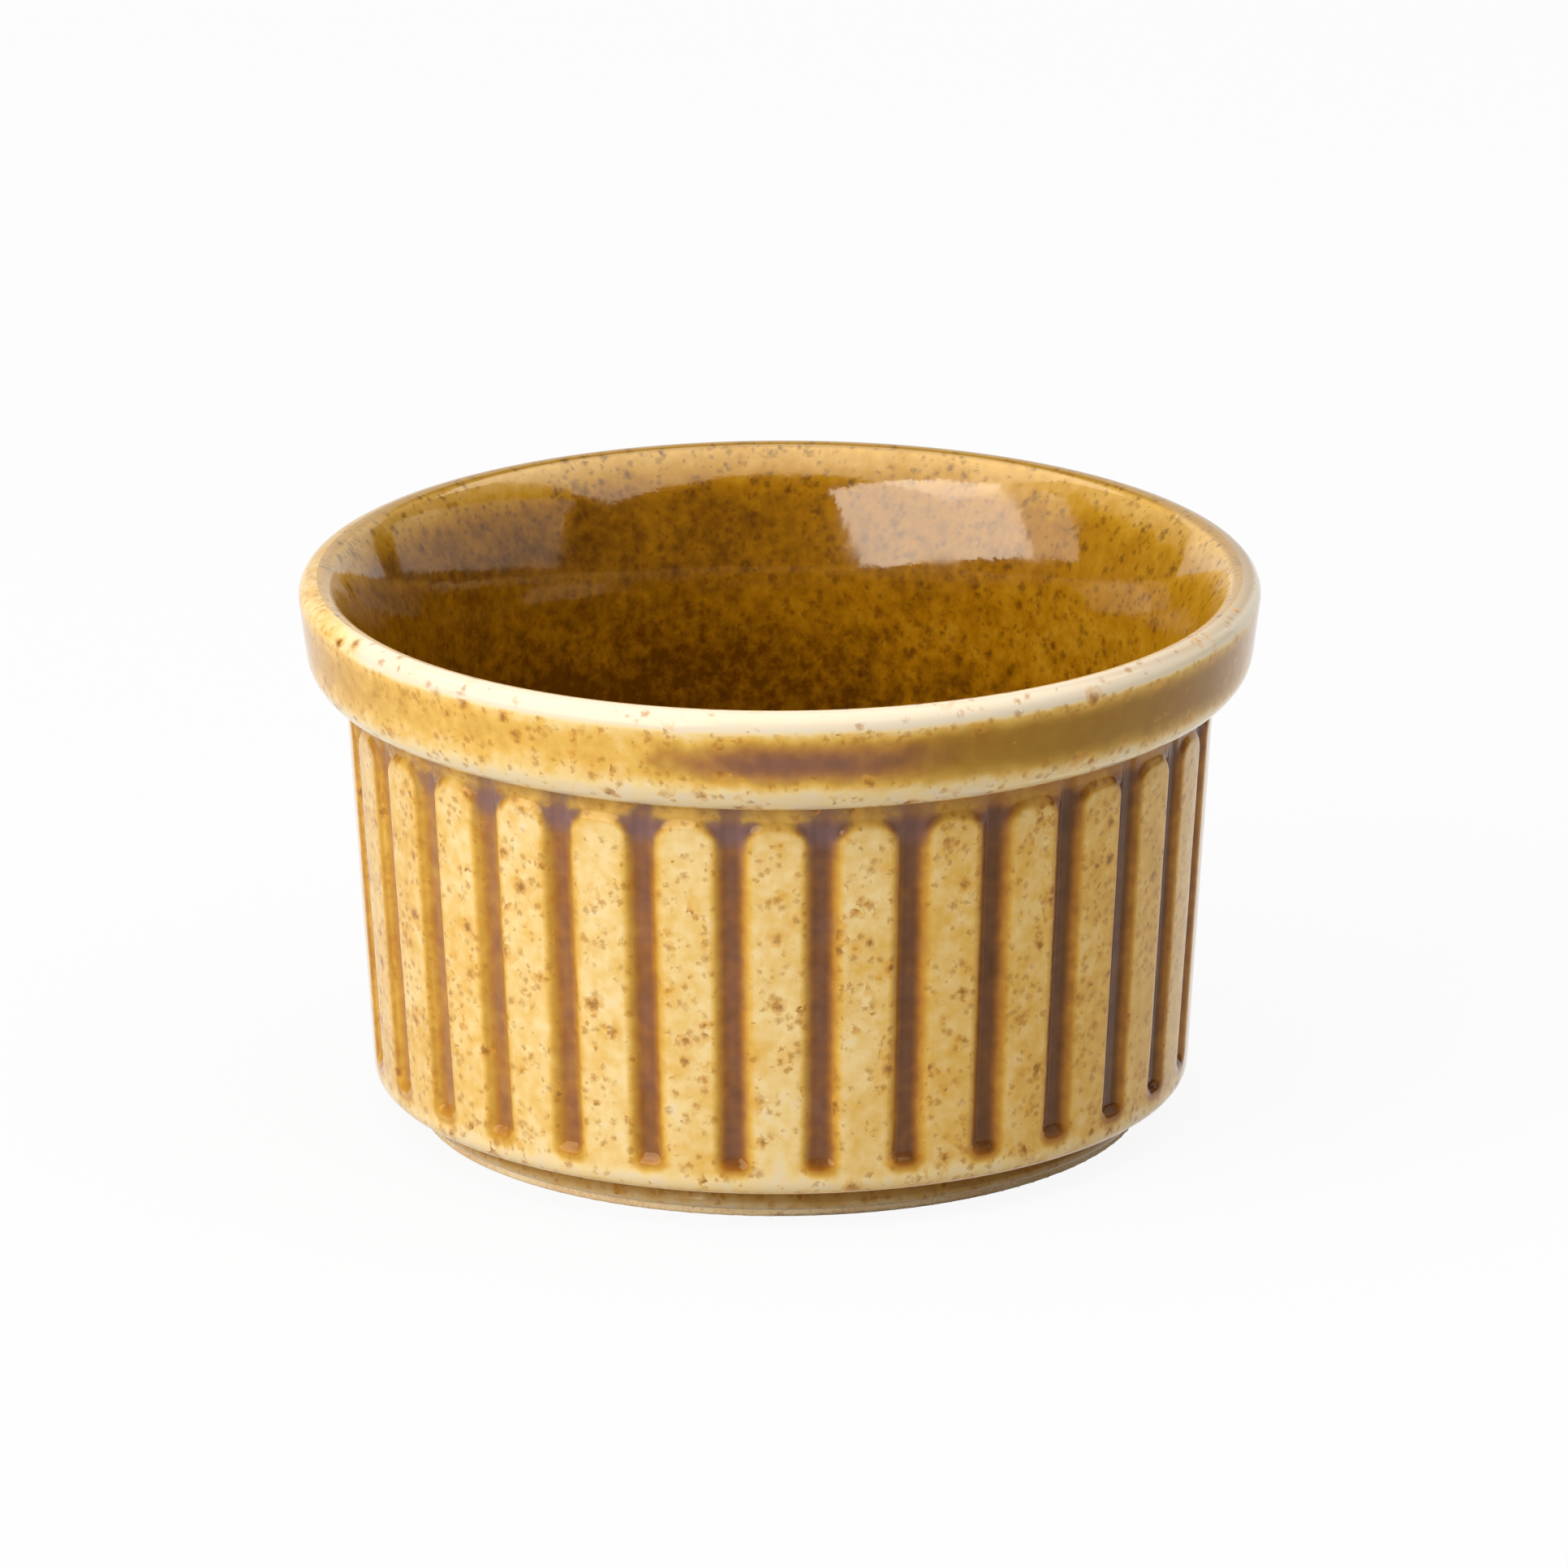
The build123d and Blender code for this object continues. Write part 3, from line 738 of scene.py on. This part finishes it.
def honey_glaze(looks):
    """Honey glaze over buff stoneware, dipped and fired glossy.

    It breaks to cream over edges, and on the lip that cream is partly a painted highlight. It stays honey on
    the ribs, pools brown in the flutes and purple in the gaps above them, and carries iron specks melted up
    from the clay.
    """
    material, tree, shader, place = start_material("honey_glaze_glossy")
    pool = add_node(tree, "ShaderNodeAttribute", output="Fac", attribute_name=POOL)

    # The coat is thinnest where it was held for dipping. Its pools are made thicker and darker towards one
    # side, the side that the key light leaves in shade: painted shade.
    axes = add_node(tree, "ShaderNodeSeparateXYZ", (place,)).node.outputs
    bearing = add_node(tree, MATH, (axes[1], axes[0]), operation="ARCTAN2")
    lobe = add_node(tree, MATH, (bearing, looks.float_turn), operation="SUBTRACT")
    lobe = add_node(tree, MATH, (lobe, 2.0), operation="MULTIPLY")
    lobe = add_node(tree, MATH, (lobe,), operation="COSINE")
    crown = add_node(tree, MATH, (lobe, -0.38, 1.24), operation="MULTIPLY_ADD")
    drained = facing(tree, bearing, looks.outer_shade_turn)
    sunk = add_node(tree, MATH, (drained, 0.28, 0.86), operation="MULTIPLY_ADD")
    deep = add_node(tree, FADE, (pool, 0.3, 0.6), **SMOOTH)
    thickness = add_node(tree, "ShaderNodeMix", {0: deep, 2: crown, 3: sunk}, data_type="FLOAT")
    pool = add_node(tree, MATH, (pool, thickness), operation="MULTIPLY")

    # One broad pool in the collar's waist, where the dish hung last to drain.
    off = add_node(tree, MATH, (bearing, looks.waist_turn), operation="SUBTRACT")
    off = add_node(tree, MATH, (off,), operation="ABSOLUTE")
    edge = add_node(tree, NOISE, {"Vector": place, "Scale": 0.3, "Detail": 1.0})
    off = swing(tree, off, edge, 0.3)
    along = add_node(tree, FADE, (off, radians(2), radians(26)), **SMOOTH)
    along = add_node(tree, MATH, (1.0, along), operation="SUBTRACT")
    level = swing(tree, axes[2], edge, 1.2)
    low = add_node(tree, FADE, (level, 44.2, 47.2), **SMOOTH)
    high = add_node(tree, FADE, (level, 47.2, 50.3, 1.0, 0.0), **SMOOTH)
    waist = add_node(tree, MATH, (low, high), operation="MULTIPLY")
    filled = add_node(tree, MATH, (along, 0.48), operation="MULTIPLY")
    pool = add_node(tree, MATH, (waist, filled, pool), operation="MULTIPLY_ADD")

    # Further on the collar's glaze is thicker and olive.
    onward = add_node(tree, FADE, (facing(tree, bearing, looks.belt_turn), 0.82, 0.97), **SMOOTH)
    low = add_node(tree, FADE, (level, 43.8, 46.4), **SMOOTH)
    high = add_node(tree, FADE, (level, 48.4, 50.4, 1.0, 0.0), **SMOOTH)
    for mask in (low, high):
        onward = add_node(tree, MATH, (onward, mask), operation="MULTIPLY")
    pool = add_node(tree, MATH, (onward, 0.1, pool), operation="MULTIPLY_ADD")

    # The lip is honey and not cream at its far left.
    left = add_node(tree, FADE, (axes[0], -43.0, -37.0, 1.0, 0.0), **SMOOTH)
    lip = add_node(tree, FADE, (axes[2], 49.6, 50.8), **SMOOTH)
    left = add_node(tree, MATH, (left, lip), operation="MULTIPLY")
    pool = add_node(tree, MATH, (left, 0.18, pool), operation="MULTIPLY_ADD")

    # Soft clouds of 3 to 8 mm and a finer mottle.
    broad = add_node(tree, NOISE, {"Vector": place, "Scale": 0.22, "Detail": 2.0})
    mottle = add_node(tree, NOISE, {"Vector": place, "Scale": 0.8, "Detail": 2.0, "Roughness": 0.45})
    lively = add_node(tree, FADE, (pool, 0.0, 0.16, 0.2, 1.0), **SMOOTH)
    pattern = add_node(tree, MATH, (broad, mottle), operation="ADD")
    pattern = add_node(tree, MATH, (pattern, 0.5), operation="SUBTRACT")
    pool = swing(tree, pool, pattern, add_node(tree, MATH, (lively, 0.24), operation="MULTIPLY"))
    shade = add_node(tree, "ShaderNodeValToRGB", (pool,))
    set_stops(
        shade.node.color_ramp,
        [
            (0.0, looks.cream),
            (0.1, looks.honey),
            (0.23, looks.gold),
            (0.37, looks.amber),
            (0.51, looks.ochre),
            (0.65, looks.brown),
            (0.81, looks.umber),
            (1.0, looks.bark),
        ],
    )

    # It is olive where it drained to round the collar, and along the crest, where the liner meets it.
    crest = crest_ring(tree, bearing, axes[2], 51.4, 51.8)
    olive = add_node(tree, MATH, (onward, crest), operation="MAXIMUM")
    shade = stain(tree, shade, olive, 0.76, looks.olive)

    # The purple shows in patches, most at the front and the back.
    milky = add_node(tree, "ShaderNodeAttribute", output="Fac", attribute_name=FLOAT)
    pooled = add_node(tree, MATH, (along, waist), operation="MULTIPLY")
    milky = add_node(tree, MATH, (pooled, 0.5, milky), operation="MULTIPLY_ADD")
    patch = add_node(tree, NOISE, {"Vector": place, "Scale": 0.3, "Detail": 2.0})
    milky = swing(tree, milky, patch, 0.5)
    milky = add_node(tree, FADE, (milky, 0.0, 1.0))
    lobe = add_node(tree, FADE, (lobe, -0.4, 0.8, 0.2, 1.0), **SMOOTH)
    pooling = add_node(tree, FADE, (pool, 0.2, 0.46), **SMOOTH)
    for mask in (pooling, 0.85):
        lobe = add_node(tree, MATH, (lobe, mask), operation="MULTIPLY")
    shade = stain(tree, shade, milky, lobe, looks.plum)
    # Painted reflection: milky plum over the band under the wall's edge stands in for the pale floor
    # reflected there.
    floor_sheen_band = add_node(tree, FADE, (axes[2], 2.2, 3.6, 1.0, 0.0), **SMOOTH)
    shade = stain(tree, shade, floor_sheen_band, 0.25, looks.plum)

    # Iron specks of 0.3 to 0.8 mm, most where the coat drained to, in clusters with golden halos.
    gather = add_node(tree, NOISE, {"Vector": place, "Scale": 0.45, "Detail": 2.0})
    share = add_node(tree, FADE, (gather, 0.42, 0.64, 0.2, 0.8), **SMOOTH)
    coat = add_node(tree, FADE, (pool, 0.0, 0.14, 0.25, 1.0), **SMOOTH)
    clear = add_node(tree, FADE, (pool, 0.38, 0.56, 1.0, 0.0), **SMOOTH)
    open_glaze = add_node(tree, MATH, (olive, -0.75, 1.0), operation="MULTIPLY_ADD")
    for mask in (crown, coat, clear, open_glaze):
        share = add_node(tree, MATH, (share, mask), operation="MULTIPLY")
    few = add_node(tree, MATH, (share, 0.42), operation="MULTIPLY")
    shade = stain(tree, shade, specks(tree, place, 1.7, 1.5, few), 0.65, looks.halo)
    shade = stain(tree, shade, specks(tree, place, 0.85, 0.62, share), 0.62, looks.speck)
    shade = stain(tree, shade, specks(tree, place, 1.7, 0.75, few), 0.7, looks.speck_core)
    tree.links.new(shade, shader.inputs["Base Color"])
    glaze_surface(tree, shader, place, 1.4, looks.gloss)
    return material


def amber_glaze(looks):
    """Amber liner glaze, poured in and fired glossy.

    It is deep and mottled on the wall of the bowl, and thins to gold over the lip.
    """
    material, tree, shader, place = start_material("amber_glaze_glossy")
    pool = add_node(tree, "ShaderNodeAttribute", output="Fac", attribute_name=POOL)
    axes = add_node(tree, "ShaderNodeSeparateXYZ", (place,)).node.outputs
    bearing = add_node(tree, MATH, (axes[1], axes[0]), operation="ARCTAN2")

    # It is made thicker and darker towards one side, across a bowl of this radius in millimetres: painted
    # shade on the side that the key light leaves in shade. Its mottle is calmer towards the lip.
    runs = add_node(tree, "ShaderNodeMapping", {"Vector": place, "Scale": (1.0, 1.0, 0.9)})
    broad = add_node(tree, NOISE, {"Vector": place, "Scale": 0.22, "Detail": 2.0})
    mottle = add_node(tree, NOISE, {"Vector": runs, "Scale": 0.8, "Detail": 3.0, "Roughness": 0.62})
    bowl_radius = 38.0
    shade_side = (cos(looks.liner_shade_turn) / bowl_radius, sin(looks.liner_shade_turn) / bowl_radius, 0.0)
    poured = add_node(tree, VECTOR_MATH, (place, shade_side), 1, operation="DOT_PRODUCT")
    thickness = add_node(tree, MATH, (poured, 0.22, 0.85), operation="MULTIPLY_ADD")
    pool = add_node(tree, MATH, (pool, thickness), operation="MULTIPLY")
    pool = swing(tree, pool, broad, 0.32)
    reach = add_node(tree, FADE, (axes[2], 34.0, 44.0, 0.68, 0.42), **SMOOTH)
    pool = swing(tree, pool, mottle, reach)
    shade = add_node(tree, "ShaderNodeValToRGB", (pool,))
    set_stops(
        shade.node.color_ramp,
        [
            (0.0, looks.gold),
            (0.25, looks.liner_gold),
            (0.5, looks.liner_honey),
            (0.75, looks.liner_amber),
            (1.0, looks.liner_deep),
        ],
    )

    # It is olive along the crest, and dark specks drift over it.
    shade = stain(tree, shade, crest_ring(tree, bearing, axes[2], 51.6, 51.9), 0.76, looks.olive)
    drift = add_node(tree, NOISE, {"Vector": place, "Scale": 0.25, "Detail": 2.0})
    share = add_node(tree, FADE, (drift, 0.38, 0.62, 0.2, 0.8), **SMOOTH)
    shade = stain(tree, shade, specks(tree, place, 0.8, 0.5, share), 0.5, looks.liner_speck)
    shade = stain(tree, shade, specks(tree, runs, 1.5, 0.75, share), 0.6, looks.liner_speck)
    tree.links.new(shade, shader.inputs["Base Color"])
    glaze_surface(tree, shader, place, 1.68, looks.liner_gloss)
    return material


def fired_clay(looks):
    """Bare buff stoneware, wiped clean of glaze and fired matt, with fine grog."""
    material, tree, shader, place = start_material("fired_stoneware_clay")
    toast = add_node(tree, NOISE, {"Vector": place, "Scale": 0.14, "Detail": 3.0})
    grain = add_node(tree, NOISE, {"Vector": place, "Scale": 2.8, "Detail": 4.0, "Roughness": 0.7})
    share = swing(tree, toast, grain, 1.0)
    share = add_node(tree, FADE, (share, 0.35, 0.7), **SMOOTH)
    shade = stain(tree, looks.clay, share, 1.0, looks.clay_dark)
    shade = stain(tree, shade, specks(tree, place, 1.0, 0.25, 0.3), 0.6, looks.speck)
    rough = add_node(tree, FADE, (grain, 0.3, 0.7, 0.7, 0.88), **SMOOTH)
    bump = add_node(tree, "ShaderNodeBump", {"Height": grain, "Distance": 0.04 * MM})
    tree.links.new(shade, shader.inputs["Base Color"])
    tree.links.new(rough, shader.inputs["Roughness"])
    tree.links.new(bump, shader.inputs["Normal"])
    return material


def ready_material(name, maker):
    """Material by its name, made at its first use."""
    return bpy.data.materials.get(name) or maker(bpy.context.scene.ramekin_looks)


def dress(piece, node):
    """Tie a coat to the dish's body, in place of its plain node."""
    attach(piece, "root")
    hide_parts(node)


class RAMEKIN_OT_outer_glaze(bpy.types.Operator):
    """Make the fluted outer glaze coat, from the crest of the lip to the glaze line"""

    bl_idname = "ramekin.outer_glaze"
    bl_label = "Outer glaze"

    def execute(self, context):
        sizes = context.scene.ramekin_sizes
        neck_base = HEIGHT - sizes.collar_height - sizes.neck_height
        pitch = 2 * pi * crown_radius(sizes, neck_base) / sizes.flute_count
        size, count = "NodeSocketFloat", "NodeSocketInt"
        inputs = [
            ("Flutes", count, sizes.flute_count),
            ("Columns per flute", count, COLUMNS_PER_FLUTE),
            ("Flute half width", size, sizes.flute_width / 2),
            ("Flute depth", size, sizes.flute_depth),
            ("Bed blend", size, sizes.flute_bed),
            ("Shoulder", size, sizes.flute_shoulder),
            ("Nose round", size, sizes.flute_nose),
            ("Nose flare", size, sizes.flute_flare),
            ("Flute foot level", size, sizes.foot_height + sizes.band_height),
            ("Rib top level", size, neck_base),
            ("Rib half width", size, (pitch - sizes.flute_width) / 2),
            ("Rib corner round", size, sizes.rib_corner),
            ("Neck depth", size, sizes.neck_depth),
            ("Ripple range", size, sizes.ripple * 2),
            ("Bed pool", size, sizes.bed_pool),
            ("Neck pool", size, sizes.neck_pool),
        ]
        tree = fluted_tree(inputs, ready_material("honey_glaze_glossy", honey_glaze))
        piece = shape_by_tree("outer_glaze_coat", outer_section(sizes), tree, inputs)
        dress(piece, "outer_glaze")
        return {"FINISHED"}


class RAMEKIN_OT_inner_glaze(bpy.types.Operator):
    """Make the glaze liner of the bowl, up to the crest of the lip"""

    bl_idname = "ramekin.inner_glaze"
    bl_label = "Inner glaze"

    def execute(self, context):
        inputs = [("Columns", "NodeSocketInt", LINER_COLUMNS)]
        tree = turned_tree("bowl_liner", inputs, ready_material("amber_glaze_glossy", amber_glaze))
        section = inner_section(context.scene.ramekin_sizes)
        dress(shape_by_tree("inner_glaze_liner", section, tree, inputs), "inner_glaze")
        return {"FINISHED"}


class RAMEKIN_OT_base_glaze(bpy.types.Operator):
    """Make the patch of glaze in the recess inside the foot ring"""

    bl_idname = "ramekin.base_glaze"
    bl_label = "Base glaze"

    def execute(self, context):
        inputs = [("Columns", "NodeSocketInt", PATCH_COLUMNS)]
        tree = turned_tree("foot_patch", inputs, ready_material("honey_glaze_glossy", honey_glaze))
        section = base_section(context.scene.ramekin_sizes)
        dress(shape_by_tree("base_glaze_patch", section, tree, inputs), "base_glaze")
        return {"FINISHED"}


class RAMEKIN_OT_clay_body(bpy.types.Operator):
    """Give the fired clay body its material"""

    bl_idname = "ramekin.clay_body"
    bl_label = "Clay body"

    def execute(self, context):
        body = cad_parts["stoneware_body"]
        clay = ready_material("fired_stoneware_clay", fired_clay)
        for slot in body.material_slots:
            slot.material = clay
        return {"FINISHED"}


def soft_box(name, place, turn, size, radiance):
    """Rectangular area lamp at a place and turn that shines at a radiance, where white is 1."""
    lamp = bpy.data.lights.new(name, "AREA")
    lamp.shape = "RECTANGLE"
    lamp.size, lamp.size_y = size
    lamp.energy = radiance * pi * size[0] * size[1]
    box = bpy.data.objects.new(name, lamp)
    box.location = place
    box.rotation_euler = turn.to_euler()
    bpy.context.scene.collection.objects.link(box)


def upright_box(name, bearing, place, roll, size, parts):
    """Upright soft box that stands square to a bearing, moved across and up, and rolled.

    Its parts, from left to right as the dish sees them, are shares of its width and radiances.
    """
    forward = Vector((cos(bearing), sin(bearing), 0))
    across = Vector((-sin(bearing), cos(bearing), 0))
    middle = forward * BOX_DISTANCE + across * place[0] + Vector((0, 0, place[1]))
    turn = (-forward).to_track_quat("-Z", "Y") @ Quaternion((0, 0, 1), roll)
    along = turn @ Vector((1, 0, 0))
    start = -size[0] / 2
    for i, (share, radiance) in enumerate(parts):
        width = size[0] * share
        soft_box(f"{name}_{i}", middle + along * (start + width / 2), turn, (width, size[1]), radiance)
        start += width


def around(azimuth, elevation, distance, height):
    """Point at a bearing and elevation from the axis at a height."""
    flat = distance * cos(elevation)
    return Vector((flat * cos(azimuth), flat * sin(azimuth), height + distance * sin(elevation)))


class RAMEKIN_OT_studio(bpy.types.Operator):
    """Set up the floor, the lamps, the world and the camera"""

    bl_idname = "ramekin.studio"
    bl_label = "Studio"

    def execute(self, context):
        studio = context.scene.ramekin_studio
        scene = context.scene

        mesh = bpy.data.meshes.new("floor")
        far, low, high = FLOOR_REACH, -MICROMETRE, studio.backdrop
        corners = [(-far, -far, low), (far, -far, low), (far, far, low), (-far, far, low)]
        corners += [(far, far, high), (-far, far, high)]
        mesh.from_pydata(corners, [], [(0, 1, 2, 3), (3, 2, 4, 5)])
        floor = bpy.data.objects.new("floor", mesh)
        scene.collection.objects.link(floor)
        material = bpy.data.materials.new("matt_pale_floor")
        material.use_nodes = True
        tree = material.node_tree
        shader = next(n for n in tree.nodes if n.type == "BSDF_PRINCIPLED")
        shader.inputs["Base Color"].default_value = studio.floor
        shader.inputs["Roughness"].default_value = 0.9
        shader.inputs["Specular IOR Level"].default_value = 0.0
        rays = add_node(tree, "ShaderNodeLightPath").node.outputs
        seen = add_node(tree, MATH, (rays["Is Camera Ray"], rays["Is Glossy Ray"]), operation="MAXIMUM")
        seen = add_node(tree, MATH, (seen, rays["Is Transmission Ray"]), operation="MAXIMUM")
        share = add_node(tree, MATH, (seen, FLOOR_WHITE), operation="MULTIPLY")
        white = add_node(tree, "ShaderNodeEmission", ((1, 1, 1, 1), 1.0))
        look = add_node(tree, "ShaderNodeMixShader", (share, shader.outputs[0], white))
        tree.links.new(look, next(n for n in tree.nodes if n.type == "OUTPUT_MATERIAL").inputs["Surface"])
        mesh.materials.append(material)

        parts = {
            "key": [(studio.key_end, studio.key_end_light), (1 - studio.key_end, studio.key_light)],
            "fill": [(1.0, studio.fill_light)],
        }
        for name, shares in parts.items():
            bearing, place, size, roll = (
                getattr(studio, name + "_" + what) for what in ("bearing", "place", "size", "roll")
            )
            upright_box(name + "_soft_box", bearing, place, roll, size, shares)
        soft_box("top_panel", PANEL_PLACE, Quaternion(), studio.top_size, studio.top_light)

        world = bpy.data.worlds.new("studio")
        world.use_nodes = True
        tree = world.node_tree
        background = next(n for n in tree.nodes if n.type == "BACKGROUND")
        background.inputs["Color"].default_value = (1, 1, 1, 1)
        background.inputs["Strength"].default_value = studio.ambient
        scene.world = world

        camera_data = bpy.data.cameras.new("camera")
        camera_data.sensor_width = 36
        camera_data.lens = studio.lens
        camera_data.clip_start = 0.05
        camera_data.clip_end = 50
        camera = bpy.data.objects.new("camera", camera_data)
        camera.location = around(studio.azimuth, studio.elevation, studio.distance, studio.aim_height)
        middle = Vector((0, 0, studio.aim_height))
        view = (middle - camera.location).normalized()
        right = view.cross(Vector((0, 0, 1))).normalized()
        up = right.cross(view)
        aim = middle + right * studio.aim_right + up * studio.aim_up
        look = (aim - camera.location).to_track_quat("-Z", "Y")
        camera.rotation_euler = (look @ Quaternion((0, 0, 1), -studio.roll)).to_euler()
        scene.collection.objects.link(camera)
        scene.camera = camera
        scene.view_settings.view_transform = "Standard"
        return {"FINISHED"}


class RAMEKIN_PT_panel(bpy.types.Panel):
    """Sizes, glazes and studio of the ramekin"""

    bl_idname = "RAMEKIN_PT_panel"
    bl_label = "Ramekin"
    bl_space_type = "VIEW_3D"
    bl_region_type = "UI"
    bl_category = "Ramekin"

    def draw(self, context):
        for group in ("ramekin_sizes", "ramekin_looks", "ramekin_studio"):
            column = self.layout.column()
            settings = getattr(context.scene, group)
            for name in settings.bl_rna.properties.keys():
                if name not in ("rna_type", "name"):
                    column.prop(settings, name)
        for operator in OPERATORS:
            self.layout.operator(operator.bl_idname)


OPERATORS = (
    RAMEKIN_OT_outer_glaze,
    RAMEKIN_OT_inner_glaze,
    RAMEKIN_OT_base_glaze,
    RAMEKIN_OT_clay_body,
    RAMEKIN_OT_studio,
)
CLASSES = (DishSizes, GlazeLooks, StudioLooks) + OPERATORS + (RAMEKIN_PT_panel,)


def register():
    for kind in CLASSES:
        bpy.utils.register_class(kind)
    bpy.types.Scene.ramekin_sizes = bpy.props.PointerProperty(type=DishSizes)
    bpy.types.Scene.ramekin_looks = bpy.props.PointerProperty(type=GlazeLooks)
    bpy.types.Scene.ramekin_studio = bpy.props.PointerProperty(type=StudioLooks)


def unregister():
    for group in ("ramekin_sizes", "ramekin_looks", "ramekin_studio"):
        delattr(bpy.types.Scene, group)
    for kind in reversed(CLASSES):
        bpy.utils.unregister_class(kind)


def main():
    register()
    bpy.ops.ramekin.outer_glaze()
    bpy.ops.ramekin.inner_glaze()
    bpy.ops.ramekin.base_glaze()
    bpy.ops.ramekin.clay_body()
    bpy.ops.ramekin.studio()


if __name__ == "__main__":
    main()
